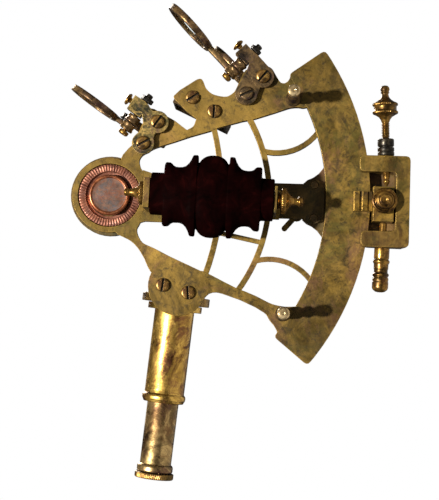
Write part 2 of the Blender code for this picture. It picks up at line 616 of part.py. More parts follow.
slotted_screw("horizon_screw_1", EAR_SCREWS[0], GAP, 4.2, 35, -10.0, OLIVE_BRASS)
slotted_screw("horizon_screw_2", EAR_SCREWS[1], GAP, 4.2, 90, -10.0, OLIVE_BRASS)

# ---------------------------------------------------------------- telescope
scope_place = along(*SCOPE_START, SIGHT_Z, SCOPE_ANGLE)
scope_plan = empty("telescope_plan", scope_place, root)
collar = lathe("telescope_bracket", [(12.95, 24.6), (21.4, 24.6), (21.6, 25.2), (21.6, 29.4),
                                     (21.4, 29.9), (12.95, 29.9)], scope_plan, steps=28)
join(collar,
     plate("foot", [(36, -46.5), (54, -47.5), (60, -52), (58, -66), (52, -70.5), (37, -70.5),
                    (31, -64), (30, -52)], -9.2, -6.4),
     block("neck", (34, -64.2, -16.5), (53, -60.3, -8.5)))
cut(collar, rod("bore", 12.95, 0, 60, scope_plan, steps=28))
for spot in SCOPE_SCREWS:
    cut(collar, rod("hole", 1.8, -12.6, 3, place=moved(*spot, 0), steps=8))
finish(collar, GOLD_BRASS)
finish(lathe("telescope_tube", [
    (10.4, 12.0), (13.7, 12.0), (13.7, 18.0), (TUBE_R, 19.0), (TUBE_R, 30.3),
    (17.2, 30.3), (17.2, 34.3), (TUBE_R, 34.5), (TUBE_R, 87.6), (13.6, 88.4),
    (13.9, 90.4), (13.6, 92.6), (12.4, 93.4), (10.4, 93.4)], scope_plan, steps=20), GOLD_BRASS)
finish(lathe("objective_lens", [(0, 15.0), (5, 15.4), (10.1, 16.4), (10.1, 19.0), (0, 19.4)],
             scope_plan, steps=22), CLEAR_GLASS)
finish(lathe("draw_tube", [
    (8.4, 66.0), (10.0, 66.0), (10.0, 133.2), (11.4, 133.6), (11.45, 137.2), (8.4, 137.4)],
    scope_plan, steps=22), GOLD_BRASS)
finish(lathe("eyepiece_cap", [
    (3.0, 137.9), (12.0, 137.9), (12.4, 138.3), (12.4, 141.2), (12.0, 141.6), (9.0, 141.9),
    (3.0, 140.4)], scope_plan, steps=14), DARK_BRASS)
finish(lathe("eyepiece_lens", [(0, 131.5), (5, 131.9), (8.1, 133.0), (8.1, 134.8), (5, 135.8),
                               (0, 136.2)], scope_plan, steps=20), CLEAR_GLASS)
slotted_screw("telescope_screw_1", SCOPE_SCREWS[0], GAP, 4.3, 84, -12.0, OLIVE_BRASS)
slotted_screw("telescope_screw_2", SCOPE_SCREWS[1], GAP, 4.3, 96, -12.0, OLIVE_BRASS)

# ---------------------------------------------------------------- handle
HANDLE_LOW_X = 28.0
HANDLE_SHAPE = [  # distance along the grip, half width across the plan, half depth
    (0.0, 12.2, 9.0), (0.6, 12.8, 9.6), (7.4, 12.8, 9.8), (7.9, 18.2, 10.0), (9.0, 19.4, 10.4),
    (11.4, 19.2, 10.8), (13.0, 17.6, 11.2), (16.4, 16.8, 11.7), (20.4, 17.6, 12.2),
    (23.6, 21.8, 12.6), (25.0, 24.5, 12.9), (27.4, 24.5, 13.0), (27.9, 20.4, 12.8),
    (28.7, 20.4, 12.8), (30.8, 23.0, 13.2), (34.0, 24.6, 13.5), (37.2, 25.0, 13.6)]


def handle():
    length = 2 * HANDLE_SHAPE[-1][0]
    stations = list(HANDLE_SHAPE)
    stations += [(length - s, w, d) for s, w, d in reversed(HANDLE_SHAPE[:-1])]
    around = 14
    bm = bmesh.new()
    rings = []
    for s, half_w, half_d in stations:
        ring = []
        for step in range(around):
            turn = 2.0 * math.pi * step / around
            across = math.copysign(abs(math.cos(turn)) ** 0.8, math.cos(turn))
            deep = math.copysign(abs(math.sin(turn)) ** 0.7, math.sin(turn))
            ring.append(bm.verts.new(((HANDLE_LOW_X + s) * MM, across * half_w * MM,
                                      (GRIP_Z + deep * half_d) * MM)))
        rings.append(ring)
    for one, two in zip(rings, rings[1:]):
        for step in range(around):
            after = (step + 1) % around
            bm.faces.new((one[step], one[after], two[after], two[step]))
    bm.faces.new(rings[0])
    bm.faces.new(list(reversed(rings[-1])))
    return obj_from(bm, "handle_grip", root, Matrix.Identity(4))


rod_place = along(0, 0, GRIP_Z, 0)
grip = handle()
cut(grip, rod("bore", 2.8, 10, 120, root, rod_place, 12))
finish(grip, ROSEWOOD)
finish(lathe("handle_bolt", [
    (0, 20.0), (1.8, 20.0), (2.2, 20.5), (2.2, 104.6), (5.4, 104.6), (4.8, 106.8),
    (8.0, 107.2), (8.0, 109.6), (4.4, 111.8), (2.1, 114.6), (2.0, 116.6), (3.0, 117.8),
    (3.0, 119.4), (0, 120.7)],
    root, rod_place, 14), GOLD_BRASS)
finish(lathe("finial_nut", [
    (0, 19.7), (2.5, 19.7), (2.5, 23.6), (6.6, 23.6), (7.1, 23.2), (7.1, 21.6), (6.6, 21.1),
    (4.0, 19.0), (2.3, 17.2), (2.0, 15.2), (2.3, 13.6), (2.1, 12.4), (1.2, 11.7), (0, 11.5)],
    root, rod_place, 12), GOLD_BRASS)

inner = plate("handle_bracket_inner", [(24.0, -9), (27.6, -9), (27.6, 9), (24.0, 9)], 0.35, 36.5)
join(inner, plate("foot", [(24.1, -9.1), (42, -9.1), (42, 9.1), (24.1, 9.1)], 0.3, 3.2))
cut(inner, rod("hole", 2.6, 10, 60, root, rod_place, 12))
finish(inner, OLIVE_BRASS)
outer = plate("handle_bracket_outer", [(102.8, -8), (104.2, -8), (104.2, 8), (102.8, 8)], 0.35, 36)
join(outer, plate("foot", [(95, -8.1), (104.1, -8.1), (104.1, 8.1), (95, 8.1)], 0.3, 3.2))
cut(outer, rod("hole", 2.6, 90, 120, root, rod_place, 12))
finish(outer, OLIVE_BRASS)

# empties and solids are in place; the handles of the plans are only guides
for obj in bpy.data.objects:
    if obj.type == "EMPTY":
        obj.hide_render = True
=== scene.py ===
"""Looks for the marine sextant: worn brass, copper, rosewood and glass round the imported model.

The object is laid out on the plan of its frame, in millimetres: +x runs from the index
arm's pivot to the limb, +y along the line of sight, and +z from the frame's back to the
hand. PLAN turns that plan to the way the sextant is held.
"""

import json
import math

import bmesh
import bpy
from mathutils import Euler, Matrix, Vector


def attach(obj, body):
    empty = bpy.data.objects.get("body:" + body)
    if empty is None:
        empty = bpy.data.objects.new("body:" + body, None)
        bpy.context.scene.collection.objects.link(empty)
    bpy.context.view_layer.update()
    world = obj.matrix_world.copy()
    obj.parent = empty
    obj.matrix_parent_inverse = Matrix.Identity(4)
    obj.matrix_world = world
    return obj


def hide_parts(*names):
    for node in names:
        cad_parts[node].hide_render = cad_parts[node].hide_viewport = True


MM = 0.001
GRIP_X = 64.7
GRIP_Z = 28.0
ARM_REST = 1.7
CLAMP_X = 170.1
SCREW_Z = 5.0
SCREW_FOOT = (171.9, 9.6)
SCREW_LEAN = 92.2
PLUNGER_TOP = (170.5, -12.8)
PLUNGER_LEAN = -91.7
SCOPE_START = (45.7, -35.0)
SCOPE_ANGLE = -93.7
SIGHT_Z = -28.0
FOOT_UPPER = (110.8, 66.6)
FOOT_LOWER = (112.0, -67.6)
HANDLE_LOW_X = 28.0
SHADE_Z = -0.5
SCREW_HEAD_R = 4.3

# zones where the frame's colour is shifted, in mm: near the hub, on the arms, and out along the
# limb
HUB_ZONE = (20.0, 50.0)
ARM_ZONE = (106.0, 122.0)
UPPER_ZONE = (8.0, 24.0)
LIMB_ENDS = ((45.0, 82.0), (-38.0, -80.0))

CAMERA_AT = (-0.0773, -0.8410, -0.0308)
CAMERA_TURN = (116.287, 86.308, 23.141)
CAMERA_LENS = 100.8
SUN_FROM = (-0.087, -0.766, 0.634)
SUN_STRENGTH = 8.2
SUN_SOFTNESS = 2.5
SUN_TINT = (1.0, 0.96, 0.88)
BACK_FROM = (0.35, 0.80, 0.45)
BACK_STRENGTH = 2.6
BACK_SOFTNESS = 25.0
ROOM_FROM = (-0.25, -0.75, 0.60)
ROOM_STRENGTH = 0.8
FILL_STRENGTH = 0.22
FLOOR_Z = -0.55
FLOOR_RADIUS = 0.8
FLOOR_GREY = 0.36

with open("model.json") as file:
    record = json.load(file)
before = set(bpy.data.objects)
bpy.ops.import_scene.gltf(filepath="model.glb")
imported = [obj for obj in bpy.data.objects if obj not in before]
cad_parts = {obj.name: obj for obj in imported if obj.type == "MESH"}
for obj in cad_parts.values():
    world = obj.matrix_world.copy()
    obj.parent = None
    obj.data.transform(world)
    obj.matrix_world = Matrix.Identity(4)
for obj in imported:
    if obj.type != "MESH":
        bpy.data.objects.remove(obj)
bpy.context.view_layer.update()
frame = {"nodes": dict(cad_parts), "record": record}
BODY_OF = {node: body for body, nodes in frame["record"]["behaviour"]["bodies"].items()
           for node in nodes}

# columns are where the plan's x, y and z axes point in the world
PLAN = Matrix(((0.0, 1.0, 0.0, 0.0), (0.0, 0.0, -1.0, GRIP_Z * MM),
               (-1.0, 0.0, 0.0, GRIP_X * MM), (0.0, 0.0, 0.0, 1.0)))


# ---------------------------------------------------------------- places on the plan
def turned(angle):
    return Matrix.Rotation(math.radians(angle), 4, "Z")


def moved(x, y, z=0.0):
    return Matrix.Translation((x * MM, y * MM, z * MM))


def along(x, y, z, angle):
    """A place whose own z axis lies in the plan, along angle, with its y axis up."""
    direction = Vector((math.cos(math.radians(angle)), math.sin(math.radians(angle)), 0.0))
    up = Vector((0.0, 0.0, 1.0))
    side = up.cross(direction)
    place = Matrix.Identity(4)
    for row in range(3):
        place[row][0] = side[row]
        place[row][1] = up[row]
        place[row][2] = direction[row]
    return moved(x, y, z) @ place


ARM_PLAN = turned(ARM_REST)


# ---------------------------------------------------------------- material nodes
class Look:
    """A material's node tree, built step by step."""

    def __init__(self, name):
        self.mat = bpy.data.materials.new(name)
        self.mat.use_nodes = True
        self.tree = self.mat.node_tree
        self.shader = self.tree.nodes["Principled BSDF"]
        self.place = self.tree.nodes.new("ShaderNodeTexCoord").outputs["Object"]
        self.count = 0

    def link(self, one, two):
        self.tree.links.new(one, two)

    def noise(self, scale, detail=5.0, rough=0.6, distortion=0.0, stretch=(1.0, 1.0, 1.0)):
        # each noise starts from its own place, so that no two of them line up
        self.count += 1
        mapping = self.tree.nodes.new("ShaderNodeMapping")
        mapping.inputs["Location"].default_value = (0.37 * self.count, 0.21 * self.count, 0.13)
        mapping.inputs["Scale"].default_value = stretch
        self.link(self.place, mapping.inputs["Vector"])
        node = self.tree.nodes.new("ShaderNodeTexNoise")
        node.inputs["Scale"].default_value = scale
        node.inputs["Detail"].default_value = detail
        node.inputs["Roughness"].default_value = rough
        node.inputs["Distortion"].default_value = distortion
        self.link(mapping.outputs["Vector"], node.inputs["Vector"])
        return node.outputs["Fac"]

    def ramp(self, source, stops):
        node = self.tree.nodes.new("ShaderNodeValToRGB")
        ramp = node.color_ramp
        while len(ramp.elements) < len(stops):
            ramp.elements.new(0.5)
        for element, (spot, value) in zip(ramp.elements, stops):
            element.position = spot
            element.color = (*value, 1.0)
        self.link(source, node.inputs["Fac"])
        return node.outputs["Color"]

    def grey(self, source, low, high, low_value=0.0, high_value=1.0):
        return self.ramp(source, [(low, (low_value,) * 3), (high, (high_value,) * 3)])

    def span(self, source, low, high, low_value, high_value):
        """Map a length onto a range of values, holding the end values outside it."""
        node = self.tree.nodes.new("ShaderNodeMapRange")
        self.link(source, node.inputs["Value"])
        self.feed(node.inputs["From Min"], low)
        self.feed(node.inputs["From Max"], high)
        self.feed(node.inputs["To Min"], low_value)
        self.feed(node.inputs["To Max"], high_value)
        return node.outputs["Result"]

    def mix(self, amount, one, two):
        node = self.tree.nodes.new("ShaderNodeMix")
        node.data_type = "RGBA"
        self.feed(node.inputs[0], amount)
        self.feed(node.inputs[6], one)
        self.feed(node.inputs[7], two)
        return node.outputs[2]

    def feed(self, socket, value):
        if isinstance(value, bpy.types.NodeSocket):
            self.link(value, socket)
        elif isinstance(value, tuple):
            socket.default_value = (*value, 1.0)
        else:
            socket.default_value = value

    def bump(self, height, strength, distance, before=None):
        node = self.tree.nodes.new("ShaderNodeBump")
        node.inputs["Strength"].default_value = strength
        node.inputs["Distance"].default_value = distance
        self.link(height, node.inputs["Height"])
        if before is not None:
            self.link(before, node.inputs["Normal"])
        return node.outputs["Normal"]

    def worn_edges(self, radius, amount):
        """White where the surface bends within a radius, broken up by a noise."""
        flat = self.tree.nodes.new("ShaderNodeNewGeometry").outputs["Normal"]
        bend = self.tree.nodes.new("ShaderNodeVectorMath")
        bend.operation = "DOT_PRODUCT"
        self.link(self.round_edges(radius), bend.inputs[0])
        self.link(flat, bend.inputs[1])
        edge = self.grey(bend.outputs["Value"], 0.80, 0.985, 1.0, 0.0)
        broken = self.grey(self.noise(120.0, 6.0, 0.7), 0.40, 0.56, 0.0, amount)
        both = self.tree.nodes.new("ShaderNodeMath")
        both.operation = "MULTIPLY"
        self.link(edge, both.inputs[0])
        self.link(broken, both.inputs[1])
        return both.outputs[0]

    def from_pivot(self):
        """Distance from the index pivot, and sideways distance from the middle line."""
        flat = self.tree.nodes.new("ShaderNodeVectorMath")
        flat.operation = "MULTIPLY"
        self.link(self.place, flat.inputs[0])
        flat.inputs[1].default_value = (1.0, 0.0, 1.0)
        away = self.tree.nodes.new("ShaderNodeVectorMath")
        away.operation = "DISTANCE"
        self.link(flat.outputs["Vector"], away.inputs[0])
        away.inputs[1].default_value = (0.0, 0.0, GRIP_X * MM)
        parts = self.tree.nodes.new("ShaderNodeSeparateXYZ")
        self.link(self.place, parts.inputs[0])
        return away.outputs["Value"], parts.outputs["X"]

    def round_edges(self, radius):
        node = self.tree.nodes.new("ShaderNodeBevel")
        node.samples = 4
        node.inputs["Radius"].default_value = radius
        return node.outputs["Normal"]


def brass(name, light, middle, dark, green, purple, rough=(0.34, 0.55), metallic=0.55,
          edge=0.0004, size=1.0, stain=0.6, wear=0.8, zones=None):
    """Old brass: three tones in blotches, green and purple stains, dark specks, worn edges.

    zones is for the frame: how much its arms are lightened and its limb's ends darkened. It
    also makes the blotches softer.
    """
    look = Look(name)
    broad = look.noise(18.0 * size, 10.0, 0.76, 1.2)
    spread = 1.0 if zones is None else 1.7
    tone = look.ramp(broad, [(0.49 - 0.08 * spread, dark), (0.49, middle),
                             (0.49 + 0.09 * spread, light)])
    moss = look.grey(look.noise(13.0 * size, 9.0, 0.76, 1.6), 0.50, 0.58, 0.0, stain)
    tone = look.mix(moss, tone, green)
    wine = look.grey(look.noise(15.0 * size, 9.0, 0.76, 1.9), 0.51, 0.59, 0.0, stain)
    tone = look.mix(wine, tone, purple)
    speck = look.grey(look.noise(190.0 * size, 9.0, 0.8, 0.5), 0.51, 0.63, 0.0, 0.7)
    tone = look.mix(speck, tone, dark)
    rub = look.noise(70.0 * size, 9.0, 0.78, 0.6)
    tone = look.mix(look.grey(rub, 0.52, 0.52 + 0.09 * spread, 0.0, 0.75), tone, light)
    if zones is not None:
        lighter, darker = zones
        away, side = look.from_pivot()
        upper = look.span(side, UPPER_ZONE[0] * MM, UPPER_ZONE[1] * MM, 0.2 * lighter, lighter)
        on_arms = look.span(away, ARM_ZONE[0] * MM, ARM_ZONE[1] * MM, upper, 0.0)
        tone = look.mix(on_arms, tone, light)
        on_hub = look.span(away, HUB_ZONE[0] * MM, HUB_ZONE[1] * MM, 0.45, 0.0)
        tone = look.mix(on_hub, tone, middle)
        for low, high in LIMB_ENDS:
            tone = look.mix(look.span(side, low * MM, high * MM, 0.0, darker), tone, dark)
        tone = look.mix(speck, tone, dark)
    worn = tuple(min(1.0, 1.5 * value) for value in light)
    tone = look.mix(look.worn_edges(2.0 * edge, wear), tone, worn)
    look.link(tone, look.shader.inputs["Base Color"])
    look.shader.inputs["Specular IOR Level"].default_value = 0.3
    haze = look.noise(55.0 * size, 7.0, 0.7, 0.6)
    look.link(look.grey(haze, 0.40, 0.60, rough[0], rough[1]), look.shader.inputs["Roughness"])
    look.link(look.grey(speck, 0.0, 0.8, metallic, metallic * 0.5), look.shader.inputs["Metallic"])
    pits = look.noise(1100.0, 4.0, 0.6)
    dents = look.noise(150.0, 5.0, 0.55)
    normal = look.round_edges(edge)
    normal = look.bump(dents, 0.30, 0.0005, normal)
    normal = look.bump(pits, 0.25, 0.00015, normal)
    look.link(normal, look.shader.inputs["Normal"])
    return look.mat


MOSS = (0.078, 0.070, 0.016)
WINE = (0.110, 0.052, 0.028)
OLIVE = brass("olive_brass", (0.215, 0.132, 0.028), (0.125, 0.078, 0.016), (0.030, 0.020, 0.006),
              MOSS, WINE)
# dark brass for the index arm and its mirror bracket, made darker still as painted shade where the
# arm lies in the grip's shadow
ARM_DARK_PAINTED_SHADE = brass("arm_dark_brass_painted_shade", (0.120, 0.074, 0.020), (0.060, 0.038, 0.010), (0.016, 0.011, 0.004),
            (0.035, 0.032, 0.010), (0.050, 0.026, 0.014), (0.40, 0.60), 0.4)
VERNIER = brass("vernier_brass", (0.20, 0.118, 0.042), (0.120, 0.068, 0.024), (0.040, 0.022, 0.009),
                (0.080, 0.064, 0.022), (0.12, 0.062, 0.032), (0.36, 0.56), 0.45)
GOLDEN = brass("golden_brass", (0.36, 0.215, 0.040), (0.19, 0.110, 0.020), (0.040, 0.023, 0.006),
               MOSS, WINE, (0.26, 0.46), 0.65, 0.0005, 1.3)
STAINED = brass("stained_brass", (0.34, 0.225, 0.066), (0.105, 0.078, 0.024), (0.016, 0.015, 0.007),
                (0.050, 0.052, 0.020), (0.110, 0.055, 0.040), (0.32, 0.52), 0.55, 0.0006, 2.6, 0.8)
FRAME = brass("frame_brass", (0.285, 0.172, 0.032), (0.100, 0.062, 0.012), (0.022, 0.014, 0.003),
              (0.085, 0.072, 0.014), (0.145, 0.068, 0.036), zones=(0.50, 0.40))
BRACKET = brass("bracket_brass", (0.24, 0.148, 0.032), (0.140, 0.086, 0.018), (0.036, 0.024, 0.007),
                MOSS, (0.12, 0.058, 0.018), (0.26, 0.46), 0.6, 0.0008, 1.0, 0.4)
PALE = brass("pale_brass", (0.72, 0.55, 0.31), (0.42, 0.28, 0.12), (0.12, 0.07, 0.03),
             (0.20, 0.15, 0.06), (0.26, 0.14, 0.08), (0.16, 0.30), 0.9, 0.0004, 3.0, 0.4)
WARM = brass("warm_brass", (0.34, 0.20, 0.050), (0.16, 0.088, 0.020), (0.034, 0.017, 0.006),
             (0.075, 0.052, 0.016), (0.11, 0.042, 0.020), (0.24, 0.42), 0.8, 0.0003, 1.6)
SCOPE = brass("telescope_brass", (0.74, 0.47, 0.11), (0.46, 0.265, 0.055), (0.095, 0.040, 0.016),
              (0.22, 0.145, 0.032), (0.19, 0.070, 0.038), (0.22, 0.38), 0.93, 0.0002, 1.3, 0.75)
DRAW = brass("draw_tube_brass", (0.50, 0.34, 0.14), (0.23, 0.13, 0.052), (0.050, 0.024, 0.014),
             (0.15, 0.10, 0.042), (0.13, 0.056, 0.044), (0.20, 0.38), 0.93, 0.0002, 1.4, 0.8)
BROWN = brass("brown_brass", (0.16, 0.098, 0.040), (0.044, 0.028, 0.015), (0.010, 0.007, 0.005),
              (0.036, 0.032, 0.020), (0.060, 0.034, 0.034), (0.28, 0.46), 0.7, 0.0005, 2.4, 0.8)
RING = brass("shade_ring_brass", (0.34, 0.21, 0.085), (0.12, 0.068, 0.030), (0.020, 0.012, 0.007),
             (0.080, 0.058, 0.025), (0.10, 0.052, 0.042), (0.24, 0.40), 0.8, 0.0003, 2.0, 0.8)
KNOB = brass("knob_brass", (0.34, 0.185, 0.040), (0.155, 0.078, 0.017), (0.026, 0.012, 0.004),
             (0.070, 0.045, 0.012), (0.085, 0.032, 0.013), (0.20, 0.36), 0.85, 0.0002, 2.2)
SCREW = brass("screw_brass", (0.34, 0.195, 0.046), (0.150, 0.080, 0.019), (0.034, 0.017, 0.006),
              (0.080, 0.056, 0.016), (0.105, 0.042, 0.018), (0.26, 0.42), 0.7, 0.0002, 4.0)
COPPER = brass("copper", (0.27, 0.105, 0.062), (0.165, 0.057, 0.034), (0.070, 0.022, 0.013),
               (0.11, 0.045, 0.030), (0.19, 0.095, 0.075), (0.32, 0.48), 0.5, 0.0002, 3.0)
CAP = brass("cap_patina", (0.17, 0.080, 0.050), (0.105, 0.060, 0.042), (0.070, 0.056, 0.055),
            (0.085, 0.074, 0.082), (0.15, 0.052, 0.026), (0.34, 0.5), 0.45, 0.0002, 4.0, 0.8)
RIM = brass("cap_rim", (0.42, 0.145, 0.060), (0.26, 0.082, 0.034), (0.11, 0.032, 0.014),
            (0.15, 0.055, 0.026), (0.20, 0.08, 0.05), (0.22, 0.36), 0.75, 0.0002, 3.0)
STEEL = brass("dark_steel", (0.060, 0.048, 0.032), (0.022, 0.018, 0.013), (0.008, 0.007, 0.006),
              (0.022, 0.020, 0.014), (0.045, 0.022, 0.012), (0.28, 0.46), 0.8, 0.0003, 3.0)
SILVERED = brass("silvered_scale", (0.50, 0.44, 0.31), (0.36, 0.30, 0.20), (0.17, 0.13, 0.075),
                 (0.20, 0.17, 0.09), (0.20, 0.14, 0.10), (0.28, 0.44), 0.8, 0.0002)


def rosewood():
    """Dark oiled rosewood with long pores along the grip."""
    look = Look("rosewood")
    grain = look.noise(90.0, 7.0, 0.65, 0.8, (1.0, 1.0, 0.12))
    tone = look.ramp(grain, [(0.34, (0.0010, 0.0003, 0.0003)), (0.56, (0.0040, 0.0006, 0.0006)),
                             (0.78, (0.014, 0.0018, 0.0016))])
    look.link(tone, look.shader.inputs["Base Color"])
    pores = look.noise(420.0, 5.0, 0.7, 0.2, (1.0, 1.0, 0.10))
    look.link(look.grey(pores, 0.35, 0.7, 0.34, 0.55), look.shader.inputs["Roughness"])
    look.shader.inputs["Specular IOR Level"].default_value = 0.02
    look.shader.inputs["IOR"].default_value = 1.12
    normal = look.round_edges(0.0005)
    normal = look.bump(pores, 0.35, 0.0003, normal)
    look.link(normal, look.shader.inputs["Normal"])
    return look.mat


def glass(name, tint, dust=0.12, index=1.02):
    look = Look(name)
    smear = look.noise(60.0, 5.0, 0.6, 0.5)
    look.link(look.ramp(smear, [(0.3, tint), (0.8, tuple(0.92 * c for c in tint))]),
              look.shader.inputs["Base Color"])
    look.link(look.grey(smear, 0.4, 0.8, 0.02, dust), look.shader.inputs["Roughness"])
    look.shader.inputs["Transmission Weight"].default_value = 1.0
    look.shader.inputs["IOR"].default_value = index
    return look.mat


def mirror():
    look = Look("mirror_glass")
    spots = look.noise(110.0, 6.0, 0.7, 0.6)
    tone = look.ramp(spots, [(0.30, (0.35, 0.30, 0.22)), (0.42, (0.78, 0.80, 0.80)),
                             (1.0, (0.86, 0.88, 0.88))])
    look.link(tone, look.shader.inputs["Base Color"])
    look.shader.inputs["Metallic"].default_value = 1.0
    look.link(look.grey(spots, 0.3, 0.6, 0.25, 0.04), look.shader.inputs["Roughness"])
    return look.mat


WOOD = rosewood()
MIRROR = mirror()
CLEAR = glass("clear_glass", (0.96, 0.98, 0.97), 0.06, 1.2)
PALE_GREEN = glass("pale_green_glass", (0.93, 0.975, 0.94), 0.05)
PALE_AMBER = glass("pale_amber_glass", (0.975, 0.95, 0.90), 0.05)


# ---------------------------------------------------------------- mesh work
def piece(bm, name, node, place, *mats):
    """Makes a mesh a piece of the object that takes the place of a CAD node."""
    mesh = bpy.data.meshes.new(name)
    bmesh.ops.recalc_face_normals(bm, faces=bm.faces)
    bm.to_mesh(mesh)
    bm.free()
    mesh.shade_smooth()
    mesh.set_sharp_from_angle(angle=math.radians(38))
    obj = bpy.data.objects.new(name, mesh)
    bpy.context.collection.objects.link(obj)
    obj.matrix_world = PLAN @ place
    for mat in mats:
        mesh.materials.append(mat)
    bpy.context.view_layer.update()
    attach(obj, BODY_OF[node])
    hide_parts(node)
    return obj


def softened(profile, size):
    """The profile with each corner turned into a short curve."""
    soft = [profile[0]]
    for before, here, after in zip(profile, profile[1:], profile[2:]):
        here_v = Vector(here)
        back = Vector(before) - here_v
        ahead = Vector(after) - here_v
        cut = min(size, back.length * 0.4, ahead.length * 0.4)
        if cut < 0.02 or here[0] < 1e-6:
            soft.append(here)
            continue
        one = here_v + back.normalized() * cut
        two = here_v + ahead.normalized() * cut
        middle = (one + two) * 0.25 + here_v * 0.5
        soft += [tuple(one), tuple(middle), tuple(two)]
    soft.append(profile[-1])
    return soft


def turned_mesh(profile, steps=64, soft=0.2, knurl=(), mats=(), ripple=None):
    """Turns (radius, height) rows about z.

    knurl holds (low, high, depth, teeth) bands of the side. ripple is a band of notches on a
    flat top: (low radius, high radius, depth, teeth, lowest height). mats holds the
    (low radius, high radius, low height, high height) of each further material.
    """
    bm = bmesh.new()
    closed = profile[0][0] > 1e-6
    rows = list(profile) + ([profile[0], profile[1]] if closed else [])
    rows = softened(rows, soft)
    if closed:
        rows = rows[1:-1]
    fine = []
    for one, two in zip(rows, rows[1:]):
        fine.append(one)
        banded = any(low <= min(one[1], two[1]) and max(one[1], two[1]) <= high
                     for low, high, depth, teeth in knurl)
        if banded and abs(two[1] - one[1]) > 0.6:
            fine.append(((one[0] + two[0]) / 2, (one[1] + two[1]) / 2))
    fine.append(rows[-1])
    rows = fine
    rings = []
    for radius, height in rows:
        if radius < 1e-6:
            rings.append([bm.verts.new((0.0, 0.0, height * MM))])
            continue
        ring = []
        for step in range(steps):
            angle = 2.0 * math.pi * step / steps
            reach = radius
            for low, high, depth, teeth in knurl:
                if low <= height <= high:
                    wave = 0.5 - 0.5 * math.cos(angle * teeth)
                    reach = radius - depth * wave ** 2
            level = height
            if ripple and ripple[0] <= radius <= ripple[1] and height >= ripple[4]:
                level = height - ripple[2] * (0.5 - 0.5 * math.cos(angle * ripple[3])) ** 2
            ring.append(bm.verts.new((reach * MM * math.cos(angle), reach * MM * math.sin(angle),
                                      level * MM)))
        rings.append(ring)
    pairs = list(zip(rings, rings[1:]))
    if closed:
        pairs.append((rings[-1], rings[0]))
    for one, two in pairs:
        for step in range(steps):
            after = (step + 1) % steps
            if len(one) == 1 and len(two) == 1:
                continue
            if len(one) == 1:
                face = bm.faces.new((one[0], two[step], two[after]))
            elif len(two) == 1:
                face = bm.faces.new((one[after], one[step], two[0]))
            else:
                face = bm.faces.new((one[after], one[step], two[step], two[after]))
            middle = face.calc_center_median()
            for index, (low_r, high_r, low, high) in enumerate(mats, start=1):
                reach = math.hypot(middle.x, middle.y) / MM
                if low_r <= reach <= high_r and low <= middle.z / MM <= high:
                    face.material_index = index
    return bm


def turn_piece(node, profile, place, mat, steps=64, soft=0.2, knurl=(), more=(), mats=(),
               ripple=None):
    bm = turned_mesh(profile, steps, soft, knurl, mats, ripple)
    return piece(bm, node + "_fine", node, place, mat, *more)


# ---------------------------------------------------------------- turned pieces
FOOT = [(0, 0.3), (4.5, 0.3), (4.7, 0.7), (4.5, 1.3), (3.7, 2.0), (3.2, 3.6), (3.2, 6.4),
        (3.8, 7.2), (3.8, 8.6), (3.2, 9.2), (3.8, 10.2), (3.8, 11.6), (3.1, 12.6), (2.8, 15.0),
        (2.9, 17.4), (3.6, 18.4), (3.6, 20.0), (2.8, 20.8), (2.6, 23.6), (2.8, 26.2),
        (3.6, 27.6), (3.9, 28.8), (3.9, 32.4), (3.6, 33.3), (3.0, 33.5), (2.9, 33.9),
        (0.7, 34.0), (0.3, 33.5), (0, 33.5)]
for node, spot in (("foot_upper", FOOT_UPPER), ("foot_lower", FOOT_LOWER)):
    turn_piece(node, FOOT, moved(*spot), BROWN, 48, 0.25, (), (PALE,), [(0.0, 4.2, 28.0, 35.0)])

turn_piece("pivot_cover", [
    (13.0, -2.9), (19.4, -2.9), (19.4, -0.9), (19.1, -0.5), (18.2, -0.3), (17.2, -0.25),
    (16.2, -0.3), (15.6, -0.35), (15.2, -0.4), (14.8, -0.7), (14.6, -2.2), (13.0, -2.3)],
           Matrix.Identity(4), COPPER, 384, 0.1, ripple=(15.4, 19.2, 0.40, 64, -1.0))
turn_piece("pivot_cap", [(0, -1.7), (12.7, -1.7), (12.75, 2.0), (12.3, 2.9), (11.6, 3.2),
                         (10.9, 3.0), (10.5, 2.6), (7.0, 2.75), (0, 2.9)], ARM_PLAN, CAP, 96, 0.3,
           (), (RIM,), [(10.4, 13.0, -1.5, 3.4)])
turn_piece("bearing_bush", [(8.05, -5.7), (19.5, -5.7), (19.5, -3.2), (8.05, -3.2)],
           Matrix.Identity(4), OLIVE, 96)

ROD = along(0, 0, GRIP_Z, 0)
turn_piece("handle_bolt", [
    (0, 20.0), (1.8, 20.0), (2.2, 20.5), (2.2, 104.5), (5.2, 104.5), (5.5, 105.0), (5.2, 105.6),
    (4.4, 106.0), (4.4, 106.6), (7.5, 107.0), (8.0, 107.5), (8.0, 109.2), (7.4, 109.8),
    (6.6, 110.2), (4.6, 111.4), (3.0, 112.8), (2.2, 114.6), (2.0, 116.4), (2.5, 117.0),
    (3.2, 117.5), (3.3, 118.4), (2.9, 119.6), (1.9, 120.4), (0, 120.7)], ROD, KNOB, 120, 0.2,
    [(107.3, 109.4, 0.35, 40)])
turn_piece("finial_nut", [
    (0, 19.7), (2.5, 19.7), (2.5, 23.6), (6.6, 23.6), (7.1, 23.2), (7.1, 21.6), (6.4, 21.1),
    (4.4, 19.9), (3.0, 18.2), (2.2, 16.4), (1.9, 15.0), (2.0, 14.2), (2.4, 13.6), (2.4, 12.7),
    (1.8, 11.9), (0, 11.5)], ROD, KNOB, 120, 0.2, [(21.5, 23.3, 0.3, 36)])

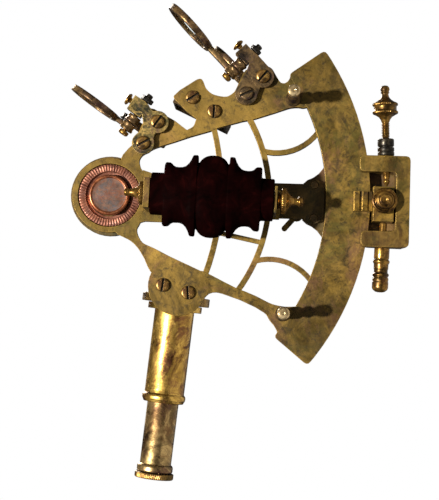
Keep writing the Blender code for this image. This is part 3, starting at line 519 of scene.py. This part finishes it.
SCREW_PLACE = ARM_PLAN @ along(*SCREW_FOOT, SCREW_Z, SCREW_LEAN)
PLUNGER_PLACE = ARM_PLAN @ along(*PLUNGER_TOP, SCREW_Z, PLUNGER_LEAN)
turn_piece("tangent_tip", [(0, 0), (0.5, 0.0), (1.0, 0.9), (2.1, 2.8), (2.1, 3.4), (1.7, 3.6),
                           (1.7, 4.2), (0, 4.2)], SCREW_PLACE, KNOB, 32)
threads = []
for turn in range(18):
    level = 6.0 + 0.72 * turn
    threads += [(2.0, level), (2.45, level + 0.36)]
outer_threads = []
for turn in range(9):
    level = 30.4 + 1.0 * turn
    outer_threads += [(1.95, level), (2.6, level + 0.5)]
turn_piece("tangent_screw", [
    (0, 4.5), (1.9, 4.5), *threads, (2.1, 19.0), (2.3, 19.5), (2.3, 29.8), *outer_threads,
    (2.1, 39.5), (2.5, 40.2), (3.0, 41.6), (4.2, 43.2), (6.4, 44.6), (7.4, 45.0), (7.9, 45.4),
    (7.9, 46.4), (7.2, 46.9), (7.0, 47.4), (7.0, 49.4), (7.2, 49.9), (7.9, 50.4), (7.9, 51.3),
    (7.2, 51.9), (5.6, 52.6), (3.8, 53.9), (2.6, 55.4), (2.1, 57.2), (2.3, 58.0), (2.9, 58.3),
    (2.3, 58.7), (2.6, 59.4), (2.9, 60.4), (2.6, 61.6), (1.7, 62.6), (0, 63.0)],
    SCREW_PLACE, KNOB, 128, 0.12, [(45.3, 46.5, 0.4, 42), (50.3, 51.4, 0.4, 42)])
turn_piece("tangent_locknut", [
    (2.85, 19.0), (4.8, 19.0), (5.15, 19.4), (5.15, 21.0), (4.9, 21.3), (4.9, 21.7), (5.15, 22.0),
    (5.15, 23.8), (4.8, 24.2), (4.2, 24.2), (4.2, 24.8), (4.8, 24.8), (5.1, 25.2), (5.1, 28.8),
    (4.7, 29.4), (2.85, 29.4)], SCREW_PLACE, STEEL, 96, 0.15)
turn_piece("plunger_barrel", [
    (2.6, 15.8), (4.6, 15.8), (4.7, 16.0), (4.7, 22.2), (4.4, 22.6), (4.4, 23.0), (4.9, 23.4),
    (5.2, 24.2), (4.9, 25.2), (4.5, 25.8), (4.5, 28.6), (4.2, 29.4), (4.2, 31.0), (5.0, 32.0),
    (5.1, 32.8), (4.6, 33.4), (4.4, 33.8), (4.8, 34.4), (5.0, 35.2), (4.8, 36.0), (4.8, 36.6),
    (5.0, 37.0), (5.0, 40.4), (4.5, 41.6), (3.0, 42.8), (1.3, 43.2), (1.2, 40.5), (3.5, 40.5),
    (3.5, 17.6), (2.6, 17.6)], PLUNGER_PLACE, KNOB, 64, 0.2)
turn_piece("plunger", [(0, 0), (1.6, 0), (2.25, 0.7), (2.25, 23.0), (3.1, 23.2), (3.1, 26.0),
                       (1.8, 26.2), (1.8, 33.0), (0, 33.0)], PLUNGER_PLACE, KNOB, 48)
turn_piece("clamp_screw", [
    (0, -3.0), (2.1, -3.0), (2.1, 10.1), (7.0, 10.1), (7.8, 10.4), (8.0, 10.8), (8.0, 14.8),
    (7.7, 15.5), (7.1, 15.8), (6.2, 15.8), (5.8, 15.4), (5.5, 15.6), (5.5, 17.0), (5.1, 17.5),
    (4.2, 17.6), (3.7, 17.9), (3.5, 19.2), (2.9, 19.6), (1.6, 19.5), (0.9, 19.0), (0, 18.8)],
    ARM_PLAN @ moved(CLAMP_X, 0), KNOB, 144, 0.15, [(10.2, 15.0, 0.25, 48)])

# ---------------------------------------------------------------- telescope
SCOPE_PLACE = along(*SCOPE_START, SIGHT_Z, SCOPE_ANGLE)
turn_piece("telescope_tube", [
    (10.4, 12.0), (13.2, 12.0), (13.7, 12.6), (13.7, 17.6), (13.2, 18.4), (12.65, 18.8),
    (12.65, 30.3),
    (17.0, 30.3), (17.2, 30.6), (17.2, 34.0), (17.0, 34.3), (12.65, 34.4), (12.65, 87.4),
    (13.1, 87.8), (13.6, 88.4), (13.9, 89.6), (13.7, 91.2), (13.2, 92.0), (13.0, 92.6),
    (12.6, 93.2), (10.4, 93.4)], SCOPE_PLACE, SCOPE, 96, 0.2)
turn_piece("draw_tube", [
    (8.4, 66.0), (10.0, 66.0), (10.0, 132.4), (10.6, 132.8), (11.2, 133.4), (11.45, 134.4),
    (11.45, 136.6), (11.0, 137.4), (8.4, 137.4)], SCOPE_PLACE, DRAW, 96, 0.2)
turn_piece("eyepiece_cap", [
    (3.0, 137.9), (11.8, 137.9), (12.4, 138.3), (12.4, 141.0), (12.0, 141.6), (9.0, 141.9),
    (3.0, 140.4)], SCOPE_PLACE, WARM, 240, 0.15, [(138.2, 141.2, 0.4, 60)])
turn_piece("objective_lens", [(0, 15.0), (4, 15.25), (7, 15.8), (10.1, 16.6), (10.1, 19.0),
                              (7, 19.2), (0, 19.4)], SCOPE_PLACE, CLEAR, 64, 0.5)
turn_piece("eyepiece_lens", [(0, 131.5), (5, 131.9), (8.1, 133.0), (8.1, 134.8), (5, 135.8),
                             (0, 136.2)], SCOPE_PLACE, CLEAR, 64, 0.5)


# ---------------------------------------------------------------- slotted screws
def slotted_screw(node, spot, low, radius, slot_angle, tip, mat):
    """A cheese head with a rounded rim and a slot cut into it."""
    bm = turned_mesh([(0, tip), (1.5, tip), (1.5, low), (radius, low), (radius, low + 1.1),
                      (radius - 0.35, low + 1.65), (radius - 1.2, low + 2.0), (0, low + 2.05)],
                     56, 0.15)
    # the second slot and the cutter carry dark steel for the slot's cut faces: painted shade in the
    # slot
    obj = piece(bm, node + "_fine", node, moved(*spot) @ turned(slot_angle), mat, STEEL)
    cutter_bm = bmesh.new()
    bmesh.ops.create_cube(cutter_bm, size=1.0)
    for vert in cutter_bm.verts:
        vert.co.x *= 14 * MM
        vert.co.y *= 1.5 * MM
        vert.co.z = (low + (0.45 if vert.co.z < 0 else 4.0)) * MM
    mesh = bpy.data.meshes.new("slot")
    cutter_bm.to_mesh(mesh)
    cutter_bm.free()
    cutter = bpy.data.objects.new("slot", mesh)
    bpy.context.collection.objects.link(cutter)
    cutter.matrix_world = obj.matrix_world
    cutter.data.materials.append(STEEL)
    step = obj.modifiers.new("slot", "BOOLEAN")
    step.operation = "DIFFERENCE"
    step.solver = "EXACT"
    step.object = cutter
    bpy.context.view_layer.update()
    graph = bpy.context.evaluated_depsgraph_get()
    result = bpy.data.meshes.new_from_object(obj.evaluated_get(graph))
    obj.modifiers.clear()
    obj.data = result
    bpy.data.objects.remove(cutter, do_unlink=True)
    return obj


for node, spot, low, slot_angle, tip, mat in (
        ("index_shade_screw_1", (19.2, 33.4), 4.1, 32, -5.5, SCREW),
        ("index_shade_screw_2", (27.5, 47.1), 4.1, 57, -5.5, SCREW),
        ("horizon_shade_screw_1", (81.6, 67.9), 4.1, 25, -5.5, BROWN),
        ("horizon_shade_screw_2", (91.4, 79.2), 4.1, 52, -5.5, SCREW),
        ("horizon_screw_1", (48.1, 64.2), 0.3, 35, -10.0, SCREW),
        ("horizon_screw_2", (62.1, 56.2), 0.3, 90, -10.0, SCREW),
        ("telescope_screw_1", (36.7, -54.1), 0.3, 84, -12.0, SCREW),
        ("telescope_screw_2", (52.6, -57.9), 0.3, 96, -12.0, SCREW)):
    slotted_screw(node, spot, low, SCREW_HEAD_R, slot_angle, tip, mat)


# ---------------------------------------------------------------- shades
def merged(*parts):
    """One mesh made of (mesh, material index) parts."""
    whole = bmesh.new()
    for bm, index in parts:
        for face in bm.faces:
            face.material_index = index
        mesh = bpy.data.meshes.new("part")
        bm.to_mesh(mesh)
        bm.free()
        whole.from_mesh(mesh)
        bpy.data.meshes.remove(mesh)
    return whole


def stem_mesh(near, far, near_half, far_half, low, high):
    """A bar with rounded long edges whose width changes along x."""
    bm = bmesh.new()
    ends = []
    for reach, half in ((near, near_half), (far, far_half)):
        section = []
        for step in range(16):
            turn = 2.0 * math.pi * (step + 0.5) / 16
            across = math.copysign(abs(math.cos(turn)) ** 0.35, math.cos(turn)) * half
            rise = math.copysign(abs(math.sin(turn)) ** 0.35, math.sin(turn)) * (high - low) / 2
            section.append(bm.verts.new((reach * MM, across * MM, ((low + high) / 2 + rise) * MM)))
        ends.append(section)
    for step in range(16):
        after = (step + 1) % 16
        bm.faces.new((ends[0][step], ends[0][after], ends[1][after], ends[1][step]))
    bm.faces.new(ends[0])
    bm.faces.new(list(reversed(ends[1])))
    return bm


def shade_ring(side, number, hinge, low, high, ring_r, reach, glass_look):
    """A ring of rounded section on its stem and lug, and the glass in it."""
    low_face = low + 0.7
    high_face = high - 0.7
    hoop = turned_mesh([
        (ring_r - 3.5, low_face + 0.3), (ring_r - 3.1, low_face), (ring_r - 0.5, low_face),
        (ring_r, low_face + 0.6), (ring_r, high_face - 0.6), (ring_r - 0.5, high_face),
        (ring_r - 3.1, high_face), (ring_r - 3.5, high_face - 0.3)], 128, 0.3)
    for vert in hoop.verts:
        vert.co.x += reach * MM
    lug = turned_mesh([
        (0, low + 0.05), (4.0, low + 0.05), (4.4, low + 0.4), (4.4, low + 1.6), (4.0, low + 1.9),
        (4.0, high - 1.9), (4.4, high - 1.6), (4.4, high - 0.4), (4.0, high - 0.05),
        (0, high - 0.05)], 48, 0.1)
    stem = stem_mesh(2.0, reach - ring_r + 1.2, 2.0, 2.6, low + 0.9, high - 0.9)
    piece(merged((hoop, 0), (lug, 0), (stem, 0)), "%s_ring_%d_fine" % (side, number),
          "%s_ring_%d" % (side, number), hinge, RING)
    turn_piece("%s_glass_%d" % (side, number),
               [(0, low + 1.8), (ring_r - 3.6, low + 1.8), (ring_r - 3.6, high - 1.8),
                (0, high - 1.8)], hinge @ moved(reach, 0), glass_look, 96, 0.2)


def hinge_pin(side, place, nut_s, nut_r):
    """The pin with its round head and the dark nut and thread end on its far end."""
    pin = turned_mesh([
        (0, -1.7), (2.0, -1.9), (2.8, -1.6), (3.3, -0.9), (3.3, 0.7), (3.0, 1.0), (1.5, 1.0),
        (1.5, nut_s + 0.5), (0, nut_s + 0.5)], 64, 0.2)
    nut = turned_mesh([
        (0, nut_s - 2.2), (nut_r - 0.5, nut_s - 2.2), (nut_r - 0.2, nut_s - 1.8),
        (nut_r - 0.2, nut_s + 0.4), (nut_r - 0.6, nut_s + 0.8), (0, nut_s + 0.8)], 6, 0.2)
    end = turned_mesh([(0, nut_s + 0.5), (2.1, nut_s + 0.5), (2.1, nut_s + 2.6),
                       (1.6, nut_s + 3.1), (0, nut_s + 3.3)], 32, 0.2)
    piece(merged((pin, 0), (nut, 1), (end, 1)), side + "_hinge_pin_fine", side + "_hinge_pin",
          place, KNOB, STEEL)


def shades(side, pin, angle, lugs, nut_s, nut_r, ring_r, reach, rests, glasses, middle_s):
    place = along(*pin, SHADE_Z, angle)
    hinge_pin(side, place, nut_s, nut_r)
    turn = math.radians(angle)
    side_x = pin[0] + middle_s * math.cos(turn)
    side_y = pin[1] + middle_s * math.sin(turn)
    turn_piece(side + "_tension_screw", [
        (0, 2.6), (1.3, 2.6), (1.3, 7.4), (1.7, 7.7), (1.7, 8.5), (2.6, 8.9), (3.6, 9.2),
        (3.9, 9.6), (3.8, 10.2), (3.0, 11.0), (1.6, 11.6), (0, 11.8)],
               along(side_x, side_y, SHADE_Z, angle + 92.0), KNOB, 64, 0.2)
    for number, ((low, high), rest, look) in enumerate(zip(lugs, rests, glasses), start=1):
        hinge = place @ Matrix.Rotation(math.radians(-rest), 4, "Z")
        shade_ring(side, number, hinge, low, high, ring_r, reach, look)


shades("index_shade", (6.4, 40.2), 57.3, ((1.6, 6.8), (7.2, 12.3)), 25.6, 4.4, 17.5, 25.5,
       (0.0, 103.0), (PALE_GREEN, PALE_AMBER), 18.8)
shades("horizon_shade", (68.8, 78.6), 46.0, ((1.6, 7.2), (7.6, 13.2)), 25.4, 4.0, 18.5, 38.5,
       (0.0, 80.0), (PALE_GREEN, PALE_AMBER), 19.0)


# ---------------------------------------------------------------- the grip
# distance along the first half of the grip, half width across the plan, half depth
GRIP = [
    (0.0, 11.9, 8.8), (0.5, 12.7, 9.6), (7.3, 12.8, 9.8), (7.8, 13.4, 9.9), (7.9, 18.2, 10.0),
    (8.3, 19.1, 10.2), (9.0, 19.4, 10.4), (11.0, 19.3, 10.7), (12.0, 18.7, 10.9),
    (13.0, 17.6, 11.1), (14.4, 16.9, 11.4), (16.4, 16.7, 11.7), (18.6, 16.9, 12.0),
    (20.4, 17.6, 12.2), (22.2, 19.4, 12.4), (23.6, 21.8, 12.6), (24.4, 23.9, 12.8),
    (25.0, 24.5, 12.9), (27.0, 24.6, 13.0), (27.6, 24.2, 13.0), (27.8, 20.6, 12.8),
    (28.2, 20.0, 12.7), (28.7, 20.4, 12.8), (29.6, 21.8, 13.0), (30.8, 23.0, 13.2),
    (32.4, 24.0, 13.4), (34.6, 24.7, 13.5), (37.2, 24.9, 13.6)]


def grip_mesh():
    length = 2 * GRIP[-1][0]
    stations = list(GRIP) + [(length - s, w, d) for s, w, d in reversed(GRIP[:-1])]
    around = 72
    bm = bmesh.new()
    rings = []
    for s, half_w, half_d in stations:
        ring = []
        for step in range(around):
            turn = 2.0 * math.pi * step / around
            across = math.copysign(abs(math.cos(turn)) ** 0.8, math.cos(turn))
            deep = math.copysign(abs(math.sin(turn)) ** 0.7, math.sin(turn))
            ring.append(bm.verts.new(((HANDLE_LOW_X + s) * MM, across * half_w * MM,
                                      (GRIP_Z + deep * half_d) * MM)))
        rings.append(ring)
    for one, two in zip(rings, rings[1:]):
        for step in range(around):
            after = (step + 1) % around
            bm.faces.new((one[step], one[after], two[after], two[step]))
    bm.faces.new(rings[0])
    bm.faces.new(list(reversed(rings[-1])))
    return bm


piece(grip_mesh(), "handle_grip_fine", "handle_grip", Matrix.Identity(4), WOOD)

# ---------------------------------------------------------------- looks of the nodes kept
# the index arm and its mirror bracket take the dark arm brass, darkened further as painted shade
NODE_LOOKS = {
    "frame": FRAME, "arc_scale": SILVERED, "pivot_shaft": WARM, "index_arm": ARM_DARK_PAINTED_SHADE,
    "index_mirror_bracket": ARM_DARK_PAINTED_SHADE, "index_mirror_glass": MIRROR, "vernier_plate": VERNIER,
    "tangent_bracket": BRACKET, "magnifier_arm": OLIVE, "magnifier_lens": CLEAR,
    "magnifier_pivot": BROWN, "clamp_block": GOLDEN, "clamp_jaw": GOLDEN,
    "handle_bracket_inner": OLIVE, "handle_bracket_outer": OLIVE, "telescope_bracket": WARM,
    "horizon_mirror_bracket": BROWN, "horizon_mirror_glass": MIRROR,
    "index_shade_bracket": STAINED, "horizon_shade_bracket": BROWN}
for node, mat in NODE_LOOKS.items():
    obj = frame["nodes"][node]
    if not obj.material_slots:
        obj.data.materials.append(mat)
    for entry in obj.material_slots:
        entry.material = mat


# ---------------------------------------------------------------- stage, light and camera
def stage_floor():
    bm = bmesh.new()
    bmesh.ops.create_circle(bm, cap_ends=True, segments=96, radius=FLOOR_RADIUS)
    mesh = bpy.data.meshes.new("floor")
    bm.to_mesh(mesh)
    bm.free()
    obj = bpy.data.objects.new("floor", mesh)
    bpy.context.collection.objects.link(obj)
    obj.location = (0.0, 0.0, FLOOR_Z)
    mat = bpy.data.materials.new("floor")
    mat.use_nodes = True
    shader = mat.node_tree.nodes["Principled BSDF"]
    shader.inputs["Base Color"].default_value = (*[FLOOR_GREY] * 3, 1.0)
    shader.inputs["Roughness"].default_value = 0.9
    mesh.materials.append(mat)


def world_light():
    """A white ground for the camera, and a dim room with one broad soft light for the metal."""
    world = bpy.data.worlds.new("studio")
    bpy.context.scene.world = world
    world.use_nodes = True
    tree = world.node_tree
    tree.nodes.clear()
    out = tree.nodes.new("ShaderNodeOutputWorld")
    swap = tree.nodes.new("ShaderNodeMixShader")
    path = tree.nodes.new("ShaderNodeLightPath")
    seen = tree.nodes.new("ShaderNodeBackground")
    seen.inputs["Color"].default_value = (1.0, 1.0, 1.0, 1.0)
    room = tree.nodes.new("ShaderNodeBackground")
    where = tree.nodes.new("ShaderNodeTexCoord")
    toward = tree.nodes.new("ShaderNodeVectorMath")
    toward.operation = "DOT_PRODUCT"
    toward.inputs[1].default_value = tuple(Vector(ROOM_FROM).normalized())
    half = tree.nodes.new("ShaderNodeMath")
    half.operation = "MULTIPLY_ADD"
    half.inputs[1].default_value = 0.5
    half.inputs[2].default_value = 0.5
    ramp = tree.nodes.new("ShaderNodeValToRGB")
    stops = [(0.0, 0.10), (0.45, 0.035), (0.72, 0.05), (0.86, 0.22), (0.95, 1.0)]
    while len(ramp.color_ramp.elements) < len(stops):
        ramp.color_ramp.elements.new(0.5)
    for element, (spot, value) in zip(ramp.color_ramp.elements, stops):
        element.position = spot
        element.color = (value, value * 0.985, value * 0.95, 1.0)
    tree.links.new(where.outputs["Generated"], toward.inputs[0])
    tree.links.new(toward.outputs["Value"], half.inputs[0])
    tree.links.new(half.outputs[0], ramp.inputs["Fac"])
    tree.links.new(ramp.outputs["Color"], room.inputs["Color"])
    # the soft light shows in shiny brass and hardly lifts the shadows
    level = tree.nodes.new("ShaderNodeMath")
    level.operation = "MULTIPLY_ADD"
    level.inputs[1].default_value = FILL_STRENGTH - ROOM_STRENGTH
    level.inputs[2].default_value = ROOM_STRENGTH
    tree.links.new(path.outputs["Is Diffuse Ray"], level.inputs[0])
    tree.links.new(level.outputs[0], room.inputs["Strength"])
    # what is seen directly and what is seen through the shade glasses is the same white
    direct = tree.nodes.new("ShaderNodeMath")
    direct.operation = "MAXIMUM"
    tree.links.new(path.outputs["Is Camera Ray"], direct.inputs[0])
    tree.links.new(path.outputs["Is Transmission Ray"], direct.inputs[1])
    tree.links.new(direct.outputs[0], swap.inputs[0])
    tree.links.new(room.outputs[0], swap.inputs[1])
    tree.links.new(seen.outputs[0], swap.inputs[2])
    tree.links.new(swap.outputs[0], out.inputs["Surface"])


def sun(name, source, strength, softness):
    data = bpy.data.lights.new(name, "SUN")
    data.energy = strength
    data.angle = math.radians(softness)
    data.color = SUN_TINT
    obj = bpy.data.objects.new(name, data)
    bpy.context.collection.objects.link(obj)
    obj.rotation_euler = Vector(source).to_track_quat("Z", "Y").to_euler()


def camera():
    data = bpy.data.cameras.new("camera")
    data.lens = CAMERA_LENS
    data.sensor_width = 36.0
    data.sensor_fit = "AUTO"
    data.clip_start = 0.01
    obj = bpy.data.objects.new("camera", data)
    bpy.context.collection.objects.link(obj)
    obj.location = CAMERA_AT
    obj.rotation_euler = Euler([math.radians(turn) for turn in CAMERA_TURN], "XYZ")
    bpy.context.scene.camera = obj


stage_floor()
world_light()
sun("key_light", SUN_FROM, SUN_STRENGTH, SUN_SOFTNESS)
sun("back_light", BACK_FROM, BACK_STRENGTH, BACK_SOFTNESS)
camera()
bpy.context.scene.view_settings.view_transform = "Standard"
